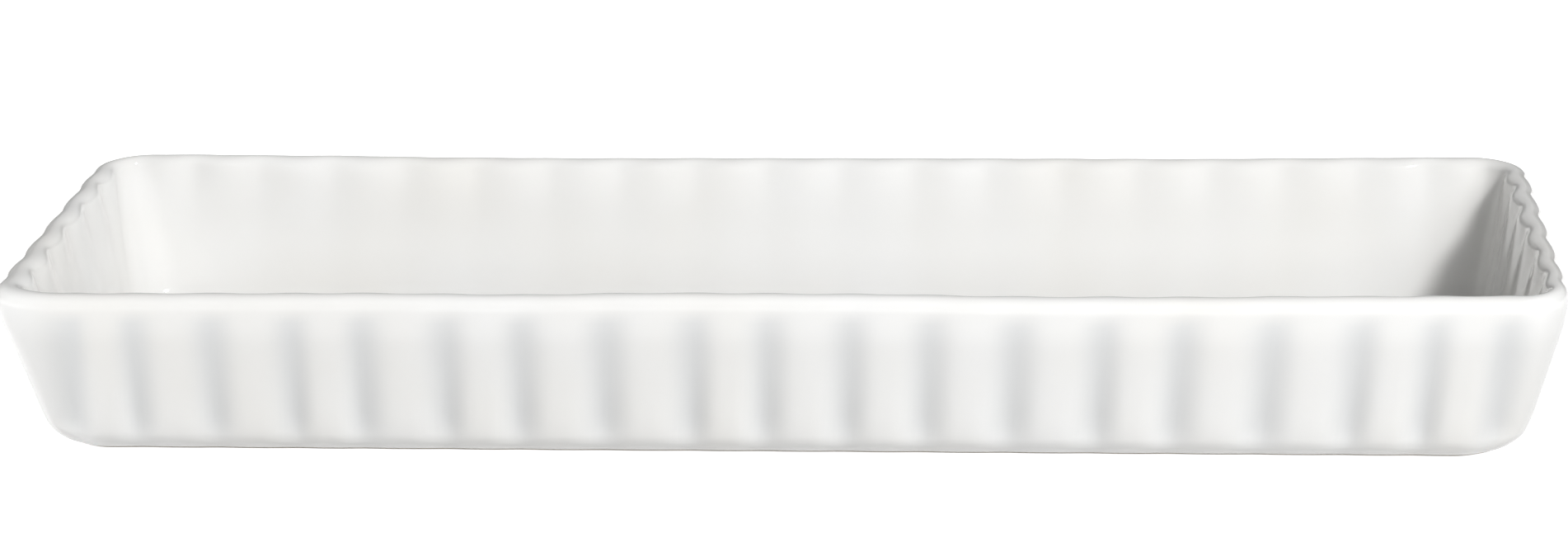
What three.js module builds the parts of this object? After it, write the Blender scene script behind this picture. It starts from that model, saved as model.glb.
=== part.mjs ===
// A long rectangular baking dish with fluted walls. It is one porcelain casting, the
// glaze fired onto it inside and out, and the patch of glaze under its base. The casting
// is bare only on the foot ring that it stands on in the kiln and on the table.
//
// Millimetres, +Z up, +X along the dish. The origin is the middle of the foot ring's plane.

import * as THREE from 'three';

// Overall size, over the rim
const LENGTH = 360;
const WIDTH = 120;
const HEIGHT = 42;

// Walls and base, glaze included
const WALL = 5.8; // thickness of the walls, and of the round rim that ends them
const BASE = 5.4; // thickness of the base over its recess
const END_DRAFT = 10.5; // degrees that the end walls lean outwards
const SIDE_DRAFT = 17; // degrees that the long walls lean outwards
const FOOT_FILLET = 8.5; // radius between wall and foot, outside
const FLOOR_FILLET = 8; // radius between wall and floor, inside

// Corner radii seen from above
const RIM_CORNER = 14.5; // outside, at the rim
const FOOT_CORNER = 16.5; // outside, where the wall runs into the foot fillet
const FLOOR_CORNER = 11; // inside, where the wall runs into the floor fillet

// Flutes: convex lobes between narrow grooves, which run down each wall
const FLUTE_PITCH = 18.4; // nominal width of a lobe
const LAST_FLUTE = 15.7; // width of the last lobe before a corner
const CORNER_RUN = 17; // from a wall's end at the rim to its last groove
const OUTER_FLUTE = 1.1; // half the depth of the flutes on the outside
const FOOT_FLUTE = 1; // half the depth that is left outside at the foot of the wall
const MEET_FLUTE = 0.3; // half the depth where the outside meets the round of the rim
const RIM_FLUTE = 0.1; // half the depth that is left on the outer half of the rim
const INNER_FLUTE = 0.6; // half the depth of the flutes on the inside of the rim
const FLOOR_FLUTE = 0.15; // half the depth that is left inside at the foot of the wall
const FLUTE_TOP = 3; // length under the rim in which the outside flutes get shallower
const FLUTE_FOOT = 3; // length over the foot of the wall in which they do

// Foot, recess and glaze
const FOOT_RING = 4; // width of the bare ring
const FOOT_BEVEL = 0.6; // slope of the ring's sides, measured across
const RECESS = 1.2; // depth of the glazed recess inside the ring
const RECESS_MARGIN = 1.5; // strip round the recess that is wiped clean of glaze
const GLAZE = 0.4; // thickness of the glaze
const GLAZE_LINE = 0.5; // height over the table at which the outside glaze ends

// Facets
const LOBE_STEPS = 4; // columns in a lobe
const CORNER_STEPS = 8; // columns round a corner
const RIM_STEPS = 4; // bands over the rim
const FILLET_STEPS = 3; // bands down a fillet

const QUARTER_TURN = Math.PI / 2;
const FULL_TURN = Math.PI * 2;
const FLOOR_LEVEL = RECESS + BASE;

// The section of one wall. A round rim ends it, and its outside and inside lines are
// tangent to the rim's circle. Each point is given as the place of the wall's middle
// surface, the way across from there to the skin, and the height.
function wallSection(size, draftDegrees) {
  const lean = THREE.MathUtils.degToRad(draftDegrees);
  const outward = new THREE.Vector2(Math.cos(lean), -Math.sin(lean));
  const down = new THREE.Vector2(-Math.sin(lean), -Math.cos(lean));
  const crest = Math.max(MEET_FLUTE, OUTER_FLUTE - FLUTE_TOP * Math.sin(lean));
  const rimReach = (WALL / 2) * Math.cos(lean) + crest;
  const rim = new THREE.Vector2(size / 2 - rimReach, HEIGHT - WALL / 2);

  // The middle of a circle that touches the wall's skin and a level surface
  function filletCentre(across, radius, level) {
    const centre = rim.clone().addScaledVector(outward, across);
    return centre.addScaledVector(down, (centre.y - level - radius) / Math.cos(lean));
  }
  const foot = filletCentre(WALL / 2 - FOOT_FILLET, FOOT_FILLET, 0);
  const floor = filletCentre(-WALL / 2 - FLOOR_FILLET, FLOOR_FILLET, FLOOR_LEVEL);
  const outerLength = foot.clone().sub(rim).dot(down);
  const innerLength = floor.clone().sub(rim).dot(down);

  function onSkin(length, way) {
    const middle = rim.clone().addScaledVector(down, length);
    const skin = middle.clone().addScaledVector(outward, (way * WALL) / 2);
    return { middle: middle.x, across: skin.x - middle.x, z: skin.y };
  }
  function onFillet(centre, radius, angle) {
    const x = centre.x + radius * Math.cos(angle);
    return { middle: x, across: 0, z: centre.y + radius * Math.sin(angle) };
  }
  return {
    lean,
    outside: (length) => onSkin(length, 1),
    outsideFoot: (length) => onSkin(outerLength - length, 1),
    insideFoot: () => onSkin(innerLength, -1),
    overRim: (share) => {
      const fromTop = (2 * share - 1) * QUARTER_TURN;
      const angle = QUARTER_TURN + fromTop - lean * Math.abs(2 * share - 1);
      const across = (WALL / 2) * Math.cos(angle);
      return { middle: rim.x, across, z: rim.y + (WALL / 2) * Math.sin(angle) };
    },
    footFillet: (angle) => onFillet(foot, FOOT_FILLET, angle),
    floorFillet: (angle) => onFillet(floor, FLOOR_FILLET, angle),
  };
}

const endWall = wallSection(LENGTH, END_DRAFT);
const sideWall = wallSection(WIDTH, SIDE_DRAFT);
const meanLean = (endWall.lean + sideWall.lean) / 2;

// A level of the dish: the same point of both sections, the corner radius of the skin
// there and the half depth of the flutes
function level(pick, corner, flute) {
  return { end: pick(endWall), side: pick(sideWall), corner, flute };
}

// A plain level, at one height and with a given way in from an earlier level
function stepIn(from, inset, z) {
  const place = (point) => ({ middle: point.middle - inset, across: 0, z });
  return { end: place(from.end), side: place(from.side), corner: from.corner - inset, flute: 0 };
}

// Half of the grooves of one wall, from its middle to the last one before the corner.
// The lobes between share the run evenly.
function groovePlaces(size) {
  const run = size - 2 * (CORNER_RUN + LAST_FLUTE);
  const count = Math.max(1, Math.round(run / FLUTE_PITCH));
  const pitch = run / count;
  const places = [];
  for (let place = count % 2 ? pitch / 2 : 0; place < run / 2 + pitch / 4; place += pitch) {
    places.push(place);
  }
  places.push(size / 2 - CORNER_RUN);
  return places;
}

// Columns of one wall from its middle outwards. The wave is -1 in a groove and 1 on a
// crest, and the slope is its change per millimetre along the wall.
function wallColumns(size) {
  const places = groovePlaces(size);
  const columns = [];
  let start = places[0] > 0 ? -places[0] : places.shift();
  for (const end of places) {
    const width = end - start;
    for (let step = 0; step < LOBE_STEPS; step += 1) {
      const turn = (FULL_TURN * step) / LOBE_STEPS;
      const place = start + (width * step) / LOBE_STEPS;
      const slope = (Math.sin(turn) * FULL_TURN) / width;
      if (place > -width / LOBE_STEPS / 2) columns.push({ place, wave: -Math.cos(turn), slope });
    }
    start = end;
  }
  columns.push({ place: start, wave: -1, slope: 0 });
  return columns;
}

const endColumns = wallColumns(WIDTH);
const sideColumns = wallColumns(LENGTH);

// A quarter of a rounded rectangle, from the middle of the end to the middle of the long
// side, measured along its line
function quarterPath(halfLength, halfWidth, radius) {
  const endStraight = halfWidth - radius;
  const sideStraight = halfLength - radius;
  const total = endStraight + radius * QUARTER_TURN + sideStraight;
  function run(place, straight) {
    if (place <= straight) return place;
    return straight + radius * Math.asin(Math.min(1, (place - straight) / radius));
  }
  function at(distance) {
    const onArc = THREE.MathUtils.clamp((distance - endStraight) / radius, 0, QUARTER_TURN);
    const normal = new THREE.Vector2(Math.cos(onArc), Math.sin(onArc));
    const point = new THREE.Vector2(sideStraight, endStraight).addScaledVector(normal, radius);
    if (distance < endStraight) point.y = distance;
    if (distance > total - sideStraight) point.x = total - distance;
    return { point, normal };
  }
  return {
    at,
    total,
    endStraight,
    fromEnd: (y) => run(y, endStraight),
    fromSide: (x) => total - run(x, sideStraight),
  };
}

// The four quarters of a level, mirrored from one, anticlockwise from the middle of the
// +X end
function mirrored(quarter) {
  const back = [...quarter].reverse();
  const turn = (points, x, y) => points.slice(0, -1).map((p) => new THREE.Vector3(p.x * x, p.y * y, p.z));
  return [...turn(quarter, 1, 1), ...turn(back, -1, 1), ...turn(quarter, -1, -1), ...turn(back, 1, -1)];
}

// A fluted loop. The wall's middle surface follows the wave, and the skin is offset
// square to it, so a lobe is broad outside where the groove beside it is narrow. Grooves
// of a long wall run straight down, and those of an end close up with its width, so that
// the corner keeps room for a lobe of its own.
function flutedLoop({ end, side, corner, flute }) {
  const across = (end.across + side.across) / 2;
  const path = quarterPath(end.middle, side.middle, corner - across);
  const endGroove = endColumns[endColumns.length - 1].place;
  const sideGroove = sideColumns[sideColumns.length - 1].place;
  const fan = side.middle / sideWall.overRim(0).middle;
  const cornerStart = path.fromEnd(endGroove * fan);
  const cornerRun = path.fromSide(sideGroove) - cornerStart;
  const lift = THREE.MathUtils.smoothstep(cornerRun, 0, FLUTE_PITCH / 2);

  function skinPoint(distance, wave, slopeAlong) {
    const { point, normal } = path.at(distance);
    const tangent = new THREE.Vector2(-normal.y, normal.x);
    const endShare = normal.x * normal.x;
    const reach = THREE.MathUtils.lerp(side.across, end.across, endShare);
    const slope = flute * slopeAlong(tangent);
    point.addScaledVector(normal, flute * wave);
    point.addScaledVector(normal, reach / Math.hypot(1, slope));
    point.addScaledVector(tangent, (-reach * slope) / Math.hypot(1, slope));
    return new THREE.Vector3(point.x, point.y, THREE.MathUtils.lerp(side.z, end.z, endShare));
  }
  function cornerPoint(share) {
    const turn = FULL_TURN * share;
    const wave = lift * (1 - Math.cos(turn)) - 1;
    const slope = (lift * Math.sin(turn) * FULL_TURN) / cornerRun;
    return skinPoint(cornerStart + share * cornerRun, wave, () => slope);
  }
  const quarter = endColumns.map(({ place, wave, slope }) =>
    skinPoint(path.fromEnd(place * fan), wave, (tangent) => (slope / fan) * tangent.y));
  for (let step = 1; step < CORNER_STEPS; step += 1) quarter.push(cornerPoint(step / CORNER_STEPS));
  for (const { place, wave, slope } of [...sideColumns].reverse()) {
    quarter.push(skinPoint(path.fromSide(place), wave, (tangent) => slope * tangent.x));
  }
  return mirrored(quarter);
}

// A plain loop has columns only round its corners and at the middle of each side
function plainLoop({ end, side, corner }) {
  const path = quarterPath(end.middle, side.middle, corner);
  const arc = (corner * QUARTER_TURN) / CORNER_STEPS;
  const distances = [0];
  for (let step = 0; step <= CORNER_STEPS; step += 1) distances.push(path.endStraight + arc * step);
  distances.push(path.total);
  return mirrored(distances.map((distance) => {
    const { point, normal } = path.at(distance);
    const z = THREE.MathUtils.lerp(side.z, end.z, normal.x * normal.x);
    return new THREE.Vector3(point.x, point.y, z);
  }));
}

// A surface of loops, each joined to the next, with its outside on the right of a walk
// from the first loop to the last
class Surface {
  constructor() {
    this.points = [];
    this.faces = [];
  }

  addLoop(loop) {
    const first = this.points.length;
    this.points.push(...loop);
    return loop.map((_, index) => first + index);
  }

  // Columns of equal number are joined one to one, along the shorter diagonal
  joinColumns(lower, upper) {
    const gap = (a, b) => this.points[a].distanceTo(this.points[b]);
    lower.forEach((a, index) => {
      const next = (index + 1) % lower.length;
      const [b, c, d] = [lower[next], upper[next], upper[index]];
      if (gap(a, c) <= gap(b, d)) this.faces.push([a, b, c], [a, c, d]);
      else this.faces.push([a, b, d], [b, c, d]);
    });
  }

  // Other loops are joined in the order in which their columns come round
  joinByTurn(lower, upper) {
    const turns = (loop) => {
      const points = loop.map((index) => this.points[index]);
      const halfLength = Math.max(...points.map((p) => p.x));
      const halfWidth = Math.max(...points.map((p) => p.y));
      const angle = (p) => (Math.atan2(p.y / halfWidth, p.x / halfLength) + FULL_TURN) % FULL_TURN;
      return [...points.map(angle), FULL_TURN];
    };
    const lowerTurns = turns(lower);
    const upperTurns = turns(upper);
    let i = 0;
    let j = 0;
    while (i < lower.length || j < upper.length) {
      const [a, d] = [lower[i % lower.length], upper[j % upper.length]];
      const stepLower = j === upper.length || (i < lower.length && lowerTurns[i + 1] <= upperTurns[j + 1]);
      if (stepLower) {
        i += 1;
        this.faces.push([a, lower[i % lower.length], d]);
      } else {
        j += 1;
        this.faces.push([a, upper[j % upper.length], d]);
      }
    }
  }

  join(lower, upper) {
    if (lower.length === upper.length) this.joinColumns(lower, upper);
    else this.joinByTurn(lower, upper);
  }

  // Closes a level loop by strips across it
  cap(loop) {
    const last = loop.length;
    this.faces.push([loop[0], loop[1], loop[last - 1]]);
    for (let i = 1; i < last / 2; i += 1) {
      const [a, b, c, d] = [loop[i], loop[i + 1], loop[last - i - 1], loop[last - i]];
      this.faces.push([a, b, d]);
      if (b !== c) this.faces.push([b, c, d]);
    }
  }

  // The same faces on points moved inwards, square to the surface
  inset(depth) {
    const normals = this.points.map(() => new THREE.Vector3());
    for (const face of this.faces) {
      const [a, b, c] = face.map((index) => this.points[index]);
      const area = b.clone().sub(a).cross(c.clone().sub(a));
      for (const index of face) normals[index].add(area);
    }
    const inner = new Surface();
    inner.points = this.points.map((p, i) => p.clone().addScaledVector(normals[i].normalize(), -depth));
    inner.faces = this.faces;
    return inner;
  }

  addReversed(other) {
    const first = this.points.length;
    this.points.push(...other.points);
    for (const [a, b, c] of other.faces) this.faces.push([first + a, first + c, first + b]);
    return first;
  }

  mesh(name, material) {
    const geometry = new THREE.BufferGeometry().setFromPoints(this.points);
    geometry.setIndex(this.faces.flat());
    geometry.computeVertexNormals();
    const mesh = new THREE.Mesh(geometry, material);
    mesh.name = name;
    return mesh;
  }
}

// Levels of the glazed skin, from the glaze's lower edge up the outside, over the rim and
// down the inside to the floor
const edgeAngle = Math.asin(GLAZE_LINE / FOOT_FILLET - 1);
const foldIn = (radius, angle) => radius * (Math.cos(meanLean) - Math.cos(angle));

function footLevels() {
  const levels = [];
  for (let step = 0; step < FILLET_STEPS; step += 1) {
    const angle = THREE.MathUtils.lerp(edgeAngle, -meanLean, step / FILLET_STEPS);
    levels.push(level((wall) => wall.footFillet(angle), FOOT_CORNER - foldIn(FOOT_FILLET, angle), 0));
  }
  return levels;
}

function wallLevels() {
  const levels = [
    level((wall) => wall.outsideFoot(0), FOOT_CORNER, FOOT_FLUTE),
    level((wall) => wall.outsideFoot(FLUTE_FOOT), FOOT_CORNER, OUTER_FLUTE),
    level((wall) => wall.outside(FLUTE_TOP), RIM_CORNER, OUTER_FLUTE),
  ];
  for (let step = 0; step <= RIM_STEPS; step += 1) {
    const share = step / RIM_STEPS;
    const acrossRim = (WALL / 2) * (1 - Math.cos(share * Math.PI));
    const flute = step ? THREE.MathUtils.lerp(RIM_FLUTE, INNER_FLUTE, share ** 3) : MEET_FLUTE;
    levels.push(level((wall) => wall.overRim(share), RIM_CORNER - acrossRim, flute));
  }
  levels.push(level((wall) => wall.insideFoot(), FLOOR_CORNER, FLOOR_FLUTE));
  return levels;
}

function floorLevels() {
  const levels = [];
  for (let step = 1; step <= FILLET_STEPS; step += 1) {
    const angle = THREE.MathUtils.lerp(-meanLean, -QUARTER_TURN, step / FILLET_STEPS);
    const corner = FLOOR_CORNER - foldIn(FLOOR_FILLET, angle);
    levels.push(level((wall) => wall.floorFillet(angle), corner, 0));
  }
  return levels;
}

const foot = footLevels();
const skin = new Surface();
const skinLoops = [
  ...foot.slice(0, -1).map(plainLoop),
  ...foot.slice(-1).map(flutedLoop),
  ...wallLevels().map(flutedLoop),
  ...floorLevels().map(plainLoop),
].map((loop) => skin.addLoop(loop));
for (let i = 1; i < skinLoops.length; i += 1) skin.join(skinLoops[i - 1], skinLoops[i]);
skin.cap(skinLoops[skinLoops.length - 1]);

// The surface of the clay under the glaze
const claySkin = skin.inset(GLAZE);
const clayEdge = skinLoops[0];

// Glaze: the skin, the clay's surface turned round, and its lower edge
function glazeCoat(material) {
  const coat = new Surface();
  coat.points = [...skin.points];
  coat.faces = [...skin.faces];
  const first = coat.addReversed(claySkin);
  coat.joinColumns(clayEdge.map((index) => first + index), clayEdge);
  return coat.mesh('glaze_coat', material);
}

// Levels under the base, from the foot ring's outer edge to the recess
const ringOutside = stepIn(foot[0], FOOT_BEVEL, 0);
const ringInside = stepIn(ringOutside, FOOT_RING, 0);
const recessEdge = stepIn(ringInside, FOOT_BEVEL, RECESS + GLAZE);

// Casting: the surface under the glaze, closed below by the foot ring and the recess
function porcelainBody(material) {
  const body = new Surface();
  body.points = [...claySkin.points];
  body.faces = [...claySkin.faces];
  let upper = clayEdge;
  for (const lowerLevel of [ringOutside, ringInside, recessEdge]) {
    const lower = body.addLoop(plainLoop(lowerLevel));
    body.join(lower, upper);
    upper = lower;
  }
  body.cap([upper[0], ...upper.slice(1).reverse()]);
  return body.mesh('porcelain_body', material);
}

// Glaze of the recess: a thin sheet on the underside of the base
function baseGlaze(material) {
  const sheet = new Surface();
  const upper = sheet.addLoop(plainLoop(stepIn(recessEdge, RECESS_MARGIN, RECESS + GLAZE)));
  const lower = sheet.addLoop(plainLoop(stepIn(recessEdge, RECESS_MARGIN + GLAZE, RECESS)));
  sheet.join(lower, upper);
  sheet.cap(upper);
  sheet.cap([lower[0], ...lower.slice(1).reverse()]);
  return sheet.mesh('base_glaze', material);
}

const glazeFinish = { color: 0xf3f3f2, roughness: 0.12, metalness: 0 };
const bareFinish = { color: 0xe6e1d7, roughness: 0.8, metalness: 0 };

const group = new THREE.Group();
group.name = 'baking_dish';
group.add(porcelainBody(new THREE.MeshStandardMaterial(bareFinish)));
group.add(glazeCoat(new THREE.MeshStandardMaterial(glazeFinish)));
group.add(baseGlaze(new THREE.MeshStandardMaterial(glazeFinish)));

export default group;
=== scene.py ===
"""A long fluted baking dish of white glazed porcelain, dressed on its solids.

Metres, +Z up, +X along the dish. The glaze, the casting under it and the glaze of the
recess are fine surfaces over the solids' sections and lobes, with grooves cut finer than
the solids' wave and with the uneven spacing and warp of a cast dish.
"""

import bpy
import numpy as np
from mathutils import Matrix, Vector


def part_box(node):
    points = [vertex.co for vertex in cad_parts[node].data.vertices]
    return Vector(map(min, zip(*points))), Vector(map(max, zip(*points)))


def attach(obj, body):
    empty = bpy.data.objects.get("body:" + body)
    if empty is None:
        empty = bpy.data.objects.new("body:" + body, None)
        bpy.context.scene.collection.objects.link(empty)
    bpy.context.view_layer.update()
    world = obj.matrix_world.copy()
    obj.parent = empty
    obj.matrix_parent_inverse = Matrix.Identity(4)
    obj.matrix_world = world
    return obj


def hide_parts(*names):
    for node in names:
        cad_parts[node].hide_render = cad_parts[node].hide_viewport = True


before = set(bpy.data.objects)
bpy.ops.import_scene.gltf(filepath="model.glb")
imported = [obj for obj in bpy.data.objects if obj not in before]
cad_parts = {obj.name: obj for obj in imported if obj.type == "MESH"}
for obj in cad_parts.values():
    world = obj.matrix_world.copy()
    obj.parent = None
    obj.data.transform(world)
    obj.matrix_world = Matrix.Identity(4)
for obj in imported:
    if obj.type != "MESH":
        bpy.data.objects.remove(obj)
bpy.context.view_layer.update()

# A millimetre, a length too small to see, and turns
MM = 0.001
HAIR = 1e-9
FULL_TURN = 2.0 * np.pi
QUARTER_TURN = np.pi / 2.0

# Overall size over the rim, from the solids
RIM_LOW, RIM_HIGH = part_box("glaze_coat")
LENGTH = RIM_HIGH.x - RIM_LOW.x
WIDTH = RIM_HIGH.y - RIM_LOW.y
HEIGHT = RIM_HIGH.z

# Walls and base, glaze included
WALL = 5.8 * MM
BASE = 5.4 * MM
END_LEAN = np.radians(10.5)
SIDE_LEAN = np.radians(17.0)
FOOT_FILLET = 8.5 * MM
FLOOR_FILLET = 8.0 * MM

# Corner radii of the skin, seen from above
RIM_CORNER = 14.5 * MM
FOOT_CORNER = 16.5 * MM
FLOOR_CORNER = 11.0 * MM

# Flutes: widths of lobes, then half how deep the wave is at places on the wall, then the
# lengths in which crests, grooves and the grooves' painted shade come and go. The powers
# shape the rise over the rim, the fade down the inside and the bell of a groove, and the
# last value rounds the notches inside
FLUTE_PITCH = 18.4 * MM
LAST_FLUTE = 15.7 * MM
CORNER_RUN = 17.0 * MM
OUTER_FLUTE = 1.1 * MM
MEET_FLUTE = 0.3 * MM
RIM_FLUTE = 0.1 * MM
END_RIM_FLUTE = 0.26 * MM
INNER_FLUTE = 0.6 * MM
FLOOR_FLUTE = 0.08 * MM
GROOVE_DEPTH = 2.4 * MM
FLUTE_TOP = 3.0 * MM
FLUTE_FOOT = 12.0 * MM
RIM_OVERLAP = 1.0 * MM
CREST_RISE = 8.0 * MM
SHADE_RISE = 5.0 * MM
RIM_POWER = 3
FADE_POWER = 4
GROOVE_POWER = 3.5
NOTCH_ROUND = 0.5

# Foot, recess and glaze
FOOT_RING = 4.0 * MM
FOOT_BEVEL = 0.6 * MM
RECESS = 1.2 * MM
RECESS_MARGIN = 1.5 * MM
GLAZE = 0.4 * MM
GLAZE_LINE = 0.5 * MM
FLOOR_LEVEL = RECESS + BASE

# Sides of the bare ring, from the recess out to the glaze line: how many bevels in from
# the ring's inner or outer edge, and the share of the recess's height
RING_INSIDE = ((1.6, 1.0), (1.0, 0.8), (0.4, 0.1), (0.0, 0.0))
RING_OUTSIDE = ((1.0, 0.0), (0.7, 0.05), (0.2, 0.3))

# Rolled edge of the recess's glaze, in thicknesses of glaze in from the edge and up
RECESS_EDGE = ((4.0, 0.0), (1.2, 0.0), (0.35, 0.3), (0.0, 1.0), (4.0, 1.0))
# Share of the grooves' painted shade laid on the recess's glaze: painted shade in the recess
RECESS_PAINTED_SHADE = 0.1

# How far each groove of the front wall lies off its even place, left to right, how much
# they all slant, and how far from the middle of the dish this is full: the mould is uneven
FRONT_WANDER = np.array([
    2.4, 0.8, 0.6, 0.9, -1.9, -0.6, -2.1, -1.1, 0.7, -1.2,
    -1.0, -1.5, -0.5, 0.7, -0.4, 1.3, 2.8, 0.5, 0.6,
]) * MM
FRONT_SLANT = 0.09
FRONT_REACH = WIDTH / 3.0

# Kiln warp: how far the rim stands over or under its level at places along the dish, on
# the front and on the back
WARP_AT = np.array([-160.0, -120.0, -90.0, -60.0, -20.0, 20.0, 60.0, 95.0, 130.0, 165.0]) * MM
FRONT_WARP = np.array([-0.3, -0.15, 0.0, -0.2, 0.35, 0.25, -0.28, -0.22, 0.1, 0.32]) * MM
BACK_WARP = np.array([0.7, 0.42, 0.0, -0.2, -0.15, -0.15, -0.2, -0.28, 0.0, 0.25]) * MM

# Rows and columns of the fine surfaces
LOBE_COLUMNS = 14
CORNER_COLUMNS = 28
FILLET_ROWS = 9
WALL_ROWS = 12
RIM_ROWS = 8

# The photograph's camera, found from the outline, the rim and the flutes
PHOTO_WIDTH_PX = 1902
CAMERA_PITCH = np.radians(17.32)
CAMERA_YAW = np.radians(4.767)
CAMERA_ROLL = np.radians(-1.235)
CAMERA_DISTANCE = 970.4 * MM
CAMERA_SLIDE = Vector((-0.888 * MM, 7.361 * MM))
FOCAL_PX = 4910.6
SENSOR_MM = 36.0
CLIP_NEAR = 0.01
CLIP_FAR = 100.0


def smooth_step(share):
    """A rise from 0 to 1 with level ends: 3 t squared minus 2 t cubed, t held to 0 to 1."""
    held = np.clip(share, 0.0, 1.0)
    return held * held * (3.0 - 2.0 * held)


def groove_places(size):
    """Grooves of half a wall, from its middle out: an even pitch, then the last lobe."""
    run = size - 2.0 * (CORNER_RUN + LAST_FLUTE)
    count = max(1, round(run / FLUTE_PITCH))
    pitch = run / count
    first = pitch / 2.0 if count % 2 else 0.0
    even = np.arange(first, run / 2.0 + pitch / 4.0, pitch)
    return np.append(even, size / 2.0 - CORNER_RUN)


def wall_columns(size):
    """Columns of half a wall, from its middle out: place, and turn in the lobe.

    A lobe is one full turn, from one groove over the crest to the next groove.
    """
    grooves = groove_places(size)
    edges = grooves if grooves[0] == 0.0 else np.append(-grooves[0], grooves)
    share = np.arange(LOBE_COLUMNS)[None, :] / LOBE_COLUMNS
    place = edges[:-1, None] + np.diff(edges)[:, None] * share
    turn = np.broadcast_to(FULL_TURN * share, place.shape)
    half = place > -HAIR
    return np.append(place[half], edges[-1]), np.append(turn[half], 0.0)


def groove_share(turn, inside):
    """How deep a lobe is cut across its width: 1 in the groove and 0 on the crest.

    Outside it is a power of the cosine of half the turn, a bell round the groove. Inside it
    is the size of that cosine with its sharp foot rounded: round bumps behind the grooves
    that meet in notches.
    """
    cosine = np.abs(np.cos(turn / 2.0))
    rounded = np.hypot(cosine, NOTCH_ROUND) - NOTCH_ROUND
    bump = rounded / (np.hypot(1.0, NOTCH_ROUND) - NOTCH_ROUND)
    bell = cosine ** GROOVE_POWER
    return bell + (bump - bell) * inside


def wall_profile(size, lean):
    """Section of one wall, from the glaze line up the outside, over the rim to the floor.

    The rim is a half circle of the wall's thickness. The outside and inside are straight
    lines tangent to it, and an arc takes each of them to the base. A row is given as the
    place of the wall's middle surface, the way across from there to the skin, and height.
    """
    half_wall = WALL / 2.0
    outward = np.array([np.cos(lean), -np.sin(lean)])
    down = np.array([-np.sin(lean), -np.cos(lean)])
    crest = max(MEET_FLUTE, OUTER_FLUTE - FLUTE_TOP * np.sin(lean))
    rim_reach = half_wall * np.cos(lean) + crest
    rim = np.array([size / 2.0 - rim_reach, HEIGHT - half_wall])

    def fillet_centre(across, radius, level):
        centre = rim + across * outward
        return centre + down * (centre[1] - level - radius) / np.cos(lean)

    def round_about(centre, radius, angles):
        return centre + radius * np.stack([np.cos(angles), np.sin(angles)], axis=1)

    foot = fillet_centre(half_wall - FOOT_FILLET, FOOT_FILLET, 0.0)
    floor = fillet_centre(-half_wall - FLOOR_FILLET, FLOOR_FILLET, FLOOR_LEVEL)
    edge_angle = np.arcsin(GLAZE_LINE / FOOT_FILLET - 1.0)
    foot_angles = np.linspace(edge_angle, -lean, FILLET_ROWS, endpoint=False)
    outer = np.linspace((foot - rim) @ down, 0.0, WALL_ROWS, endpoint=False)
    rising = np.linspace(-lean, QUARTER_TURN, RIM_ROWS, endpoint=False)
    falling = np.linspace(QUARTER_TURN, np.pi - lean, RIM_ROWS, endpoint=False)
    rim_angles = np.concatenate([rising, falling])
    inner = np.linspace(0.0, (floor - rim) @ down, WALL_ROWS, endpoint=False)
    floor_angles = np.linspace(-lean, -QUARTER_TURN, FILLET_ROWS)

    skin = np.concatenate([
        round_about(foot, FOOT_FILLET, foot_angles),
        rim + outer[:, None] * down + half_wall * outward,
        round_about(rim, half_wall, rim_angles),
        rim + inner[:, None] * down - half_wall * outward,
        round_about(floor, FLOOR_FILLET, floor_angles),
    ])
    facing = np.concatenate([
        foot_angles,
        np.full(WALL_ROWS, -lean),
        rim_angles,
        np.full(WALL_ROWS, np.pi - lean),
        floor_angles + np.pi,
    ])
    across = half_wall * np.cos(facing)
    return skin[:, 0] - across, across, skin[:, 1]


def row_spans():
    """First row of the wall outside, the rim, the wall inside, the floor fillet, and the end."""
    return np.cumsum([FILLET_ROWS, WALL_ROWS, 2 * RIM_ROWS, WALL_ROWS, FILLET_ROWS])


def profile_run(profile):
    """Length along a section from the glaze line to each row."""
    middle, across, height = profile
    steps = np.hypot(np.diff(middle + across), np.diff(height))
    return np.append(0.0, np.cumsum(steps))


def flute_rows(profile, rim_flute):
    """How far crests stand out of the plain skin in each row, how far grooves lie under
    crests, and the share of painted shade in the grooves.

    Outside, the crests rise smoothly out of the rim, where they still stand out by the rim's
    own flute. The grooves deepen evenly down the wall, so that they lean more than the lobes,
    and close over the foot. On the inner half of the rim the inside's flutes rise, and they
    die out down the inside as a power of the way that is left. The painted shade lies
    outside only, between rim and foot.
    """
    wall, rim, inside, floor, _ = row_spans()
    run = profile_run(profile)
    top = run[rim] + RIM_OVERLAP
    below = np.maximum(top - run, 0.0)
    over_rim = smooth_step((run - top) / (run[inside] - top)) ** RIM_POWER
    on_rim = rim_flute + (INNER_FLUTE - rim_flute) * over_rim
    way_left = np.clip((run[floor] - run) / (run[floor] - run[inside]), 0.0, 1.0)
    fade = way_left[inside:] ** FADE_POWER
    on_rim[inside:] = FLOOR_FLUTE + (INNER_FLUTE - FLOOR_FLUTE) * fade
    off_floor = smooth_step((run[-1] - run) / (run[-1] - run[floor]))
    on_rim[floor:] *= off_floor[floor:]
    off_foot = smooth_step(run / FLUTE_FOOT)
    crest = on_rim + (OUTER_FLUTE - rim_flute) * smooth_step(below / CREST_RISE) * off_foot
    groove = 2.0 * on_rim + GROOVE_DEPTH * below / (top - run[wall]) * off_foot
    # Painted shade of the grooves outside, from under the rim down to the foot
    groove_shade = smooth_step(below / SHADE_RISE) * off_foot
    return crest, groove, groove_shade


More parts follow.
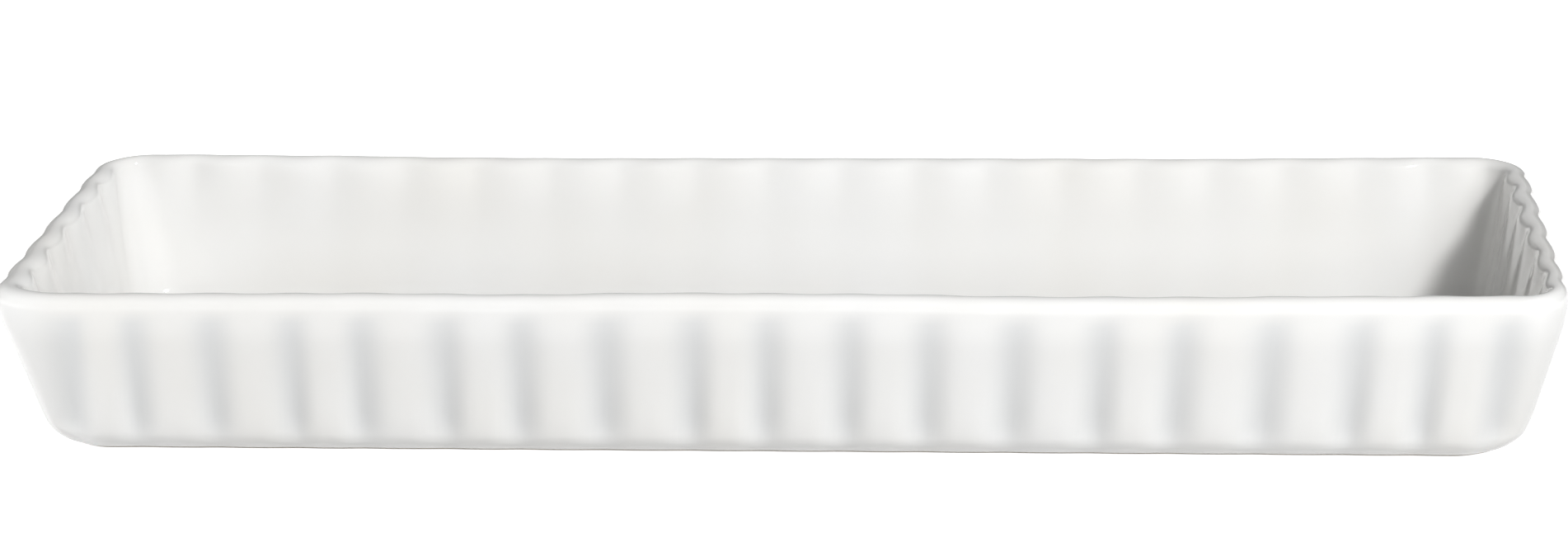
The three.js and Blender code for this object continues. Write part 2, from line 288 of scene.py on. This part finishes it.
def corner_rows(profile):
    """Corner radius of the skin in each row.

    It changes evenly along the outside and the inside, and a fillet or the rim changes it
    by the way that the section goes in.
    """
    wall, rim, inside, floor, end = row_spans()
    middle, across, height = profile
    skin = middle + across
    corner = np.empty(end)
    corner[:wall] = FOOT_CORNER + skin[:wall] - skin[wall]
    corner[wall:rim] = np.interp(
        height[wall:rim], [height[wall], height[rim]], [FOOT_CORNER, RIM_CORNER])
    corner[rim:inside] = RIM_CORNER + skin[rim:inside] - skin[rim]
    inner_top = RIM_CORNER - WALL
    corner[inside:floor] = np.interp(
        -height[inside:floor], [-height[inside], -height[floor]], [inner_top, FLOOR_CORNER])
    corner[floor:] = FLOOR_CORNER + skin[floor:] - skin[floor]
    return corner


def as_columns(rows):
    """Rows of values stood upright, one value to each row of the grid."""
    return [row[:, None] for row in rows]


def dish_skin():
    """The glazed skin as a grid of rows up and over the wall and columns round the dish.

    Each row is a rounded rectangle, the wall's middle line at that height, set off square
    to itself by the way across and by the wave of crests and grooves, which is deeper on
    the rims of the ends. Grooves of a long wall run straight down, and those of an end close
    up with its width. Over a fillet the columns follow those of the wall next to it. In a
    corner the wave is one more lobe, between grooves as wide as the others. One quarter is
    worked out, from the middle of the +X end to the middle of the +Y side, and mirrored.
    """
    end_profile = wall_profile(LENGTH, END_LEAN)
    side_profile = wall_profile(WIDTH, SIDE_LEAN)
    end_middle, end_across, end_height = as_columns(end_profile)
    side_middle, side_across, side_height = as_columns(side_profile)
    crest, groove, groove_shade = as_columns(flute_rows(side_profile, RIM_FLUTE))
    end_crest, end_groove, _ = as_columns(flute_rows(side_profile, END_RIM_FLUTE))
    radius = corner_rows(side_profile)[:, None] - (end_across + side_across) / 2.0

    end_straight = side_middle - radius
    side_straight = end_middle - radius
    total = end_straight + radius * QUARTER_TURN + side_straight
    wall, rim, inside, floor, end = row_spans()
    leader = np.arange(end)
    leader[:wall] = wall
    leader[floor:] = floor
    inner_share = np.clip((np.arange(end)[:, None] - rim) / (inside - rim), 0.0, 1.0)

    def run_to(place, straight):
        led = straight[leader]
        turn = np.arcsin(np.clip((place - led) / radius[leader], 0.0, 1.0))
        return np.where(place <= led, place * straight / led, straight + radius * turn)

    fan = (side_middle / side_middle[rim])[leader]
    end_place, end_turn = wall_columns(WIDTH)
    side_place, side_turn = (row[::-1] for row in wall_columns(LENGTH))
    end_run = run_to(end_place * fan, end_straight)
    side_run = total - run_to(side_place, side_straight)

    share = np.linspace(0.0, 1.0, CORNER_COLUMNS + 1)[1:-1]
    corner_length = side_run[:, :1] - end_run[:, -1:]
    corner_run = end_run[:, -1:] + share * corner_length
    lift = smooth_step(2.0 * corner_length / FLUTE_PITCH)
    from_groove = np.minimum(share, 1.0 - share) * corner_length
    lobe_width = np.minimum(corner_length, FLUTE_PITCH)
    corner_turn = FULL_TURN * np.minimum(from_groove / lobe_width, 0.5)
    corner_cut = 1.0 - lift * (1.0 - groove_share(corner_turn, inner_share))

    run = np.concatenate([end_run, corner_run, side_run], axis=1)
    on_arc = np.clip((run - end_straight) / radius, 0.0, QUARTER_TURN)
    normal = np.stack([np.cos(on_arc), np.sin(on_arc)], axis=-1)
    on_side = run > total - side_straight
    on_end = run < end_straight
    x = np.where(on_side, total - run, side_straight + radius * normal[..., 0])
    y = np.where(on_end, run, end_straight + radius * normal[..., 1])

    cut = np.concatenate([
        groove_share(end_turn, inner_share),
        corner_cut,
        groove_share(side_turn, inner_share),
    ], axis=1)
    end_share = normal[..., 0] ** 2
    side_wave = crest - groove * cut
    end_wave = end_crest - end_groove * cut
    wave = side_wave + (end_wave - side_wave) * end_share
    across = side_across + (end_across - side_across) * end_share
    height = side_height + (end_height - side_height) * end_share
    x = x + (across + wave) * normal[..., 0]
    y = y + (across + wave) * normal[..., 1]
    # The fourth value is the share of painted shade, strongest in the grooves
    quarter = np.stack([x, y, height, groove_shade * cut], axis=-1)

    back = quarter[:, ::-1]
    return np.concatenate([
        quarter[:, :-1],
        back[:, :-1] * (-1.0, 1.0, 1.0, 1.0),
        quarter[:, :-1] * (-1.0, -1.0, 1.0, 1.0),
        back[:, :-1] * (1.0, -1.0, 1.0, 1.0),
    ], axis=1)


def wander_front(points):
    """Slides the front wall's points along X by the wander of the grooves near them, and
    in proportion to their height over the wall's middle. The slide fades out smoothly
    towards the corners and from the front to the middle of the dish."""
    half = groove_places(LENGTH)
    even = np.concatenate([-half[:0:-1], half])
    slide = np.interp(points[..., 0], even, FRONT_WANDER)
    slide += FRONT_SLANT * (points[..., 2] - HEIGHT / 2.0)
    fade = smooth_step((LENGTH / 2.0 - np.abs(points[..., 0])) / CORNER_RUN)
    front_share = smooth_step(-points[..., 1] / FRONT_REACH)
    moved = points.copy()
    moved[..., 0] += slide * fade * front_share
    return moved


def kiln_warp(points):
    """Lifts points by the warp of the rim near them, in proportion to their height.

    Between two places the warp goes smoothly from one value to the next, and across the
    dish it changes evenly from the front's to the back's.
    """
    at = np.clip(points[..., 0], WARP_AT[0], WARP_AT[-1] - HAIR)
    before = np.searchsorted(WARP_AT, at, side="right") - 1
    share = smooth_step((at - WARP_AT[before]) / (WARP_AT[before + 1] - WARP_AT[before]))
    front = FRONT_WARP[before] + (FRONT_WARP[before + 1] - FRONT_WARP[before]) * share
    back = BACK_WARP[before] + (BACK_WARP[before + 1] - BACK_WARP[before]) * share
    to_back = np.clip(points[..., 1] / WIDTH + 0.5, 0.0, 1.0)
    rim_lift = front + (back - front) * to_back
    lifted = points.copy()
    lifted[..., 2] += rim_lift * np.maximum(points[..., 2], 0.0) / HEIGHT
    return lifted


def grid_normals(points):
    """Unit normals of a grid that is closed along its columns: the cross product of the
    steps to the neighbouring columns and rows."""
    across = np.roll(points, -1, axis=1) - np.roll(points, 1, axis=1)
    up = np.gradient(points, axis=0)
    normal = np.cross(across, up)
    return normal / np.linalg.norm(normal, axis=-1, keepdims=True)


def inset_loop(loop, inset, height):
    """A level loop inside another.

    Each point goes towards the nearest point of a spine along the middle, by the share of
    the half width that moves a straight side in by the inset.
    """
    half_length, half_width = np.abs(loop[:, :2]).max(axis=0)
    spine = np.clip(loop[:, 0], half_width - half_length, half_length - half_width)
    left = 1.0 - inset / half_width
    x = spine + (loop[:, 0] - spine) * left
    return np.column_stack([x, loop[:, 1] * left, np.full(len(loop), height)])


def grid_faces(rows, columns, first=0):
    """Four-sided faces of a grid closed along its columns, facing right of the rows' way."""
    corner = first + np.arange(rows * columns).reshape(rows, columns)
    ahead = np.roll(corner, -1, axis=1)
    around = [corner[:-1], ahead[:-1], ahead[1:], corner[1:]]
    return np.stack(around, axis=-1).reshape(-1, 4)


def turned(faces):
    """The same faces seen from the other side. A triangle still repeats its last corner."""
    three_sided = faces[:, 3] == faces[:, 2]
    back = faces[:, ::-1].copy()
    back[three_sided] = faces[three_sided][:, [1, 0, 2, 3]]
    return back


def cap_over_spine(points, loop, first):
    """Closes a loop of points, numbered by loop, that starts at the middle of one end.

    Strips go from the long sides to a spine along the middle, and fans from the ends to the
    spine's two tips, which lie half the loop's width inside its ends. Gives the spine's
    points, numbered from first, and the faces.
    """
    half = len(loop) // 2
    near, far = loop[1:half], loop[:half:-1]
    middle = (points[1:half] + points[:half:-1]) / 2.0
    tip = np.abs(points[:, 0]).max() - np.abs(points[:, 1]).max()
    on_spine = np.flatnonzero(np.abs(middle[:, 0]) <= tip)
    spine = first + np.clip(np.arange(len(middle)), on_spine[0], on_spine[-1]) - on_spine[0]
    ends = np.array([
        [loop[0], near[0], spine[0], spine[0]],
        [far[0], loop[0], spine[0], spine[0]],
        [near[-1], loop[half], spine[-1], spine[-1]],
        [loop[half], far[-1], spine[-1], spine[-1]],
    ])
    faces = np.concatenate([
        np.stack([near[:-1], near[1:], spine[1:], spine[:-1]], axis=-1),
        np.stack([far[1:], far[:-1], spine[:-1], spine[1:]], axis=-1),
        ends,
    ])
    return middle[on_spine], faces


def add_piece(name, points, faces, material, shade_share=None):
    """A smooth mesh object at the origin, with the share of painted shade at each point.

    A face that repeats its last corner is a triangle.
    """
    mesh = bpy.data.meshes.new(name)
    three_sided = faces[:, 3] == faces[:, 2]
    sides = np.where(three_sided, 3, 4)
    keep = np.ones(faces.shape, dtype=bool)
    keep[three_sided, 3] = False
    mesh.vertices.add(len(points))
    mesh.vertices.foreach_set("co", points.astype(np.float32).ravel())
    mesh.loops.add(int(sides.sum()))
    mesh.loops.foreach_set("vertex_index", faces[keep].astype(np.int32))
    mesh.polygons.add(len(faces))
    starts = np.append(0, np.cumsum(sides)[:-1])
    mesh.polygons.foreach_set("loop_start", starts.astype(np.int32))
    mesh.polygons.foreach_set("use_smooth", np.ones(len(faces), dtype=bool))
    mesh.update(calc_edges=True)
    mesh.validate()
    if shade_share is not None:
        layer = mesh.attributes.new("painted_shade", "FLOAT", "POINT")
        layer.data.foreach_set("value", shade_share.astype(np.float32))
    mesh.materials.append(material)
    piece = bpy.data.objects.new(name, mesh)
    bpy.context.scene.collection.objects.link(piece)
    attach(piece, "root")
    return piece


def linear(hex_colour):
    """An sRGB hex colour as linear red, green, blue and a full alpha.

    The curve is a straight line near black and a power of 2.4 above it.
    """
    srgb = np.array([int(hex_colour[i:i + 2], 16) for i in (1, 3, 5)]) / 255.0
    light = np.where(srgb <= 0.04045, srgb / 12.92, ((srgb + 0.055) / 1.055) ** 2.4)
    return (*light.tolist(), 1.0)


def add_node(tree, kind, inputs=None, **settings):
    """Adds one node: its settings, and a value or another node's output for each socket."""
    made = tree.nodes.new(kind)
    for name, value in settings.items():
        setattr(made, name, value)
    for socket, value in (inputs or {}).items():
        if isinstance(value, bpy.types.NodeSocket):
            tree.links.new(value, made.inputs[socket])
        else:
            made.inputs[socket].default_value = value
    return made


def new_material(name):
    """An empty node material and its tree."""
    material = bpy.data.materials.new(name)
    material.use_nodes = True
    material.node_tree.nodes.clear()
    return material, material.node_tree


# Glaze: a thick white glass, poured on and fired. It is smooth and glossy with a faint
# ripple, a trace warmer where it thins, with painted shade greying the grooves outside
GLAZE_WHITE = "#E9E9E8"
GLAZE_THIN = "#E7E6E3"
# Grey painted into the grooves outside, and a little into the recess, as painted shade
GLAZE_PAINTED_SHADE = "#D9DADA"
GLAZE_IOR = 1.52
GLAZE_CLOUD = 45.0 * MM
CLOUD_LOW, CLOUD_HIGH = 0.3, 0.7
ROUGH_LOW, ROUGH_HIGH = 0.04, 0.08
GLAZE_RIPPLE = 7.0 * MM
RIPPLE_HEIGHT = 0.15 * MM
RIPPLE_STRENGTH = 0.25


def glaze_material(name):
    """White gloss glaze. Its tone and its roughness follow one cloud of slow noise."""
    material, tree = new_material(name)
    place = add_node(tree, "ShaderNodeTexCoord").outputs["Object"]
    cloud = add_node(tree, "ShaderNodeTexNoise", {
        "Vector": place, "Scale": 1.0 / GLAZE_CLOUD, "Detail": 3.0, "Roughness": 0.5})
    blend = add_node(tree, "ShaderNodeMapRange", {
        "Value": cloud.outputs["Fac"], "From Min": CLOUD_LOW, "From Max": CLOUD_HIGH})
    tone = add_node(tree, "ShaderNodeMix", {
        "Factor": blend.outputs["Result"],
        "A": linear(GLAZE_THIN), "B": linear(GLAZE_WHITE)}, data_type="RGBA")
    # Painted shade: the grey is mixed in by each point's share of groove shade
    painted_shade_node = add_node(tree, "ShaderNodeAttribute", attribute_name="painted_shade")
    colour = add_node(tree, "ShaderNodeMix", {
        "Factor": painted_shade_node.outputs["Fac"],
        "A": tone.outputs[2], "B": linear(GLAZE_PAINTED_SHADE)}, data_type="RGBA")
    gloss = add_node(tree, "ShaderNodeMapRange", {
        "Value": cloud.outputs["Fac"], "From Min": CLOUD_LOW, "From Max": CLOUD_HIGH,
        "To Min": ROUGH_LOW, "To Max": ROUGH_HIGH})
    ripple = add_node(tree, "ShaderNodeTexNoise", {
        "Vector": place, "Scale": 1.0 / GLAZE_RIPPLE, "Detail": 1.0, "Roughness": 0.4})
    bump = add_node(tree, "ShaderNodeBump", {
        "Height": ripple.outputs["Fac"],
        "Strength": RIPPLE_STRENGTH, "Distance": RIPPLE_HEIGHT})
    shader = add_node(tree, "ShaderNodeBsdfPrincipled", {
        "Base Color": colour.outputs[2], "Roughness": gloss.outputs["Result"],
        "IOR": GLAZE_IOR, "Normal": bump.outputs["Normal"]})
    add_node(tree, "ShaderNodeOutputMaterial", {"Surface": shader.outputs["BSDF"]})
    return material


# Bare porcelain: fired clay that was wiped clean of glaze. Matt and fine grained, warmer
# than the glaze, with small iron specks and a little grey from shelves and tables
BARE_WHITE = "#E4DED3"
BARE_WORN = "#CFC8BC"
BARE_SPECK = "#8A7B6A"
BARE_ROUGHNESS = 0.82
BARE_WEAR = 14.0 * MM
WEAR_LOW, WEAR_HIGH = 0.45, 0.75
BARE_GRAIN = 0.6 * MM
GRAIN_HEIGHT = 0.05 * MM
GRAIN_STRENGTH = 0.5
SPECK_SPACING = 3.0 * MM
SPECK_CORE, SPECK_EDGE = 0.05, 0.09
SPECK_STRENGTH = 0.7


def bare_material(name):
    """Matt unglazed porcelain. The grain is drawn coarser than the real 0.1 mm to show."""
    material, tree = new_material(name)
    place = add_node(tree, "ShaderNodeTexCoord").outputs["Object"]
    wear = add_node(tree, "ShaderNodeTexNoise", {
        "Vector": place, "Scale": 1.0 / BARE_WEAR, "Detail": 4.0, "Roughness": 0.6})
    worn = add_node(tree, "ShaderNodeMapRange", {
        "Value": wear.outputs["Fac"], "From Min": WEAR_LOW, "From Max": WEAR_HIGH})
    tone = add_node(tree, "ShaderNodeMix", {
        "Factor": worn.outputs["Result"],
        "A": linear(BARE_WHITE), "B": linear(BARE_WORN)}, data_type="RGBA")
    speck = add_node(tree, "ShaderNodeTexVoronoi", {
        "Vector": place, "Scale": 1.0 / SPECK_SPACING, "Randomness": 1.0})
    dot = add_node(tree, "ShaderNodeMapRange", {
        "Value": speck.outputs["Distance"], "From Min": SPECK_CORE, "From Max": SPECK_EDGE,
        "To Min": SPECK_STRENGTH, "To Max": 0.0})
    colour = add_node(tree, "ShaderNodeMix", {
        "Factor": dot.outputs["Result"],
        "A": tone.outputs[2], "B": linear(BARE_SPECK)}, data_type="RGBA")
    grain = add_node(tree, "ShaderNodeTexNoise", {
        "Vector": place, "Scale": 1.0 / BARE_GRAIN, "Detail": 2.0})
    bump = add_node(tree, "ShaderNodeBump", {
        "Height": grain.outputs["Fac"],
        "Strength": GRAIN_STRENGTH, "Distance": GRAIN_HEIGHT})
    shader = add_node(tree, "ShaderNodeBsdfPrincipled", {
        "Base Color": colour.outputs[2], "Roughness": BARE_ROUGHNESS,
        "Normal": bump.outputs["Normal"]})
    add_node(tree, "ShaderNodeOutputMaterial", {"Surface": shader.outputs["BSDF"]})
    return material


# The dish
skin_grid = dish_skin()
skin = kiln_warp(wander_front(skin_grid[..., :3]))
clay = skin - GLAZE * grid_normals(skin)
ROWS, COLUMNS = skin.shape[:2]
LOOP = np.arange(COLUMNS)
LAST_LOOP = (ROWS - 1) * COLUMNS + LOOP


def closed_stack(loops):
    """Points and faces of a grid of loops whose first and last loop are capped."""
    rows = len(loops)
    cells = rows * COLUMNS
    top_spine, top = cap_over_spine(loops[-1], cells - COLUMNS + LOOP, cells)
    bottom_spine, bottom = cap_over_spine(loops[0], LOOP, cells + len(top_spine))
    points = np.concatenate([loops.reshape(-1, 3), top_spine, bottom_spine])
    return points, np.concatenate([grid_faces(rows, COLUMNS), top, turned(bottom)])


def make_glaze():
    """Closed shell of glaze over the casting."""
    count = ROWS * COLUMNS
    skin_spine, skin_floor = cap_over_spine(skin[-1], LAST_LOOP, 2 * count)
    next_free = 2 * count + len(skin_spine)
    clay_spine, clay_floor = cap_over_spine(clay[-1], LAST_LOOP + count, next_free)
    ahead = np.roll(LOOP, -1)
    edge = np.stack([LOOP + count, ahead + count, ahead, LOOP], axis=-1)
    faces = np.concatenate([
        grid_faces(ROWS, COLUMNS), skin_floor,
        turned(grid_faces(ROWS, COLUMNS, count)), turned(clay_floor), edge])
    points = np.concatenate([skin.reshape(-1, 3), clay.reshape(-1, 3), skin_spine, clay_spine])
    shade_share = np.zeros(len(points))
    shade_share[:2 * count] = np.tile(skin_grid[..., 3].ravel(), 2)
    piece = add_piece("glazed_skin", points, faces, glaze_material("white_gloss_glaze"), shade_share)
    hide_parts("glaze_coat")


def make_casting():
    """The casting: the surface under the glaze, the bare foot ring and the recess."""
    ring = FOOT_BEVEL + FOOT_RING
    ceiling = RECESS + GLAZE
    steps = [(ring + bevels * FOOT_BEVEL, up * ceiling) for bevels, up in RING_INSIDE]
    steps += [(bevels * FOOT_BEVEL, up * ceiling) for bevels, up in RING_OUTSIDE]
    under = np.stack([inset_loop(clay[0], inset, height) for inset, height in steps])
    points, faces = closed_stack(np.concatenate([under, clay]))
    piece = add_piece("clay_casting", points, faces, bare_material("bare_porcelain"))
    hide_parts("porcelain_body")


def make_recess_glaze():
    """The sheet of glaze in the recess, with a rolled edge."""
    inside = 2.0 * FOOT_BEVEL + FOOT_RING + RECESS_MARGIN
    steps = [(inside + across * GLAZE, RECESS + up * GLAZE) for across, up in RECESS_EDGE]
    loops = np.stack([inset_loop(clay[0], inset, height) for inset, height in steps])
    points, faces = closed_stack(loops)
    # The recess's glaze carries a little of the painted shade
    shade_share = np.full(len(points), RECESS_PAINTED_SHADE)
    piece = add_piece("recess_glaze", points, faces, glaze_material("white_recess_glaze"), shade_share)
    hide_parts("base_glaze")


make_glaze()
make_casting()
make_recess_glaze()


# Floor: a pale matt sheet. It takes the dish's shadow, and what the camera, mirrors and
# glass see of it is lifted to white
FLOOR_SIZE = 40.0
FLOOR_PALE = "#B4B4B4"
FLOOR_LIFT = 0.95


def make_floor():
    """A wide level sheet under the foot ring."""
    mesh = bpy.data.meshes.new("floor")
    half = FLOOR_SIZE / 2.0
    corners = [(-half, -half, 0), (half, -half, 0), (half, half, 0), (-half, half, 0)]
    mesh.from_pydata(corners, [], [(0, 1, 2, 3)])
    material, tree = new_material("pale_floor")
    paper = add_node(tree, "ShaderNodeBsdfDiffuse", {"Color": linear(FLOOR_PALE)})
    path = add_node(tree, "ShaderNodeLightPath")
    seen = add_node(tree, "ShaderNodeMath", {
        0: path.outputs["Is Camera Ray"], 1: path.outputs["Is Glossy Ray"]}, operation="MAXIMUM")
    seen = add_node(tree, "ShaderNodeMath", {
        0: seen.outputs[0], 1: path.outputs["Is Transmission Ray"]}, operation="MAXIMUM")
    lift = add_node(tree, "ShaderNodeMath", {
        0: seen.outputs[0], 1: FLOOR_LIFT}, operation="MULTIPLY")
    glow = add_node(tree, "ShaderNodeEmission", {"Strength": lift.outputs[0]})
    both = add_node(tree, "ShaderNodeAddShader", {0: paper.outputs[0], 1: glow.outputs[0]})
    add_node(tree, "ShaderNodeOutputMaterial", {"Surface": both.outputs[0]})
    mesh.materials.append(material)
    floor = bpy.data.objects.new("floor", mesh)
    bpy.context.scene.collection.objects.link(floor)


# Light, as compass angle from the front towards +X and height angle: a far round key, a fill
# screen and a low card in front, a small card close to the left corner, a weak softbox on the
# left, a low card and a wide softbox behind, and a faint even surround. A level of 1 makes a
# white sheet that faces the lamp render white. Of the softboxes, screens and cards only the
# wide one shows in the glaze
AMBIENT = 0.05
KEY = {"angle": 37.0, "height": 43.0, "distance": 2.0, "spread": 9.0, "level": 0.61}
SOFTBOXES = {
    "front_screen": {
        "angle": 26.0, "height": 20.0, "distance": 0.9,
        "size": (0.3, 0.3), "level": 0.47, "shows": False},
    "front_card": {
        "angle": 10.0, "height": 4.0, "distance": 0.9,
        "size": (0.6, 0.12), "level": 0.12, "shows": False},
    "left_card": {
        "angle": -76.0, "height": 2.5, "distance": 0.38,
        "size": (0.16, 0.05), "level": 0.22, "shows": False},
    "left_softbox": {
        "angle": -95.0, "height": 40.0, "distance": 1.5,
        "size": (0.6, 0.6), "level": 0.08, "shows": False},
    "rear_card": {
        "angle": 195.0, "height": 6.0, "distance": 1.0,
        "size": (0.8, 0.2), "level": 0.45, "shows": False},
    "back_softbox": {
        "angle": 165.0, "height": 50.0, "distance": 2.0,
        "size": (3.0, 3.0), "level": 0.22, "shows": True},
}


def way_to(angle, height):
    """Unit vector towards a lamp."""
    round_by, up_by = np.radians(angle), np.radians(height)
    level = np.cos(up_by)
    return Vector((level * np.sin(round_by), -level * np.cos(round_by), np.sin(up_by)))


def add_lamp(name, lamp, way, distance):
    """Puts a lamp that way from the dish, facing it."""
    holder = bpy.data.objects.new(name, lamp)
    holder.location = Vector((0.0, 0.0, HEIGHT / 2.0)) + way * distance
    holder.rotation_euler = way.to_track_quat("Z", "Y").to_euler()
    bpy.context.scene.collection.objects.link(holder)
    return holder


def make_key():
    """A far round lamp with a soft edge to its shadows. Its power is pi times its level."""
    lamp = bpy.data.lights.new("key", "SUN")
    lamp.angle = np.radians(KEY["spread"])
    lamp.energy = KEY["level"] * np.pi
    add_lamp("key", lamp, way_to(KEY["angle"], KEY["height"]), KEY["distance"])


def make_softbox(name, angle, height, distance, size, level, shows):
    """A flat lamp, wide by tall, that no camera sees.

    Its power is its level at the dish times the square of pi times the distance.
    """
    lamp = bpy.data.lights.new(name, "AREA")
    lamp.shape = "RECTANGLE"
    lamp.size, lamp.size_y = size
    lamp.energy = level * (np.pi * distance) ** 2
    holder = add_lamp(name, lamp, way_to(angle, height), distance)
    holder.visible_camera = False
    holder.visible_glossy = shows


def make_surround():
    """A dim even world."""
    world = bpy.data.worlds.new("studio")
    bpy.context.scene.world = world
    world.use_nodes = True
    tree = world.node_tree
    tree.nodes.clear()
    sky = add_node(tree, "ShaderNodeBackground", {
        "Strength": AMBIENT, "Color": (1.0, 1.0, 1.0, 1.0)})
    add_node(tree, "ShaderNodeOutputWorld", {"Surface": sky.outputs[0]})


def make_camera():
    """The photograph's camera: it looks at the dish's middle from its yaw and pitch, with
    a small roll, and stands a little to the side of that line. The lens is the focal length
    in pixels over the photograph's width, times the sensor's width."""
    yaw = Matrix.Rotation(CAMERA_YAW, 3, "Z")
    pitch = Matrix.Rotation(QUARTER_TURN - CAMERA_PITCH, 3, "X")
    axes = yaw @ pitch @ Matrix.Rotation(CAMERA_ROLL, 3, "Z")
    middle = Vector((0.0, 0.0, HEIGHT / 2.0))
    place = middle + axes @ Vector((CAMERA_SLIDE.x, CAMERA_SLIDE.y, CAMERA_DISTANCE))
    lens = bpy.data.cameras.new("camera")
    lens.sensor_fit = "HORIZONTAL"
    lens.sensor_width = SENSOR_MM
    lens.lens = FOCAL_PX / PHOTO_WIDTH_PX * SENSOR_MM
    lens.clip_start = CLIP_NEAR
    lens.clip_end = CLIP_FAR
    holder = bpy.data.objects.new("camera", lens)
    holder.matrix_world = Matrix.Translation(place) @ axes.to_4x4()
    bpy.context.scene.collection.objects.link(holder)
    bpy.context.scene.camera = holder


make_floor()
make_key()
for softbox, setting in SOFTBOXES.items():
    make_softbox(softbox, **setting)
make_surround()
make_camera()
bpy.context.scene.view_settings.view_transform = "Standard"
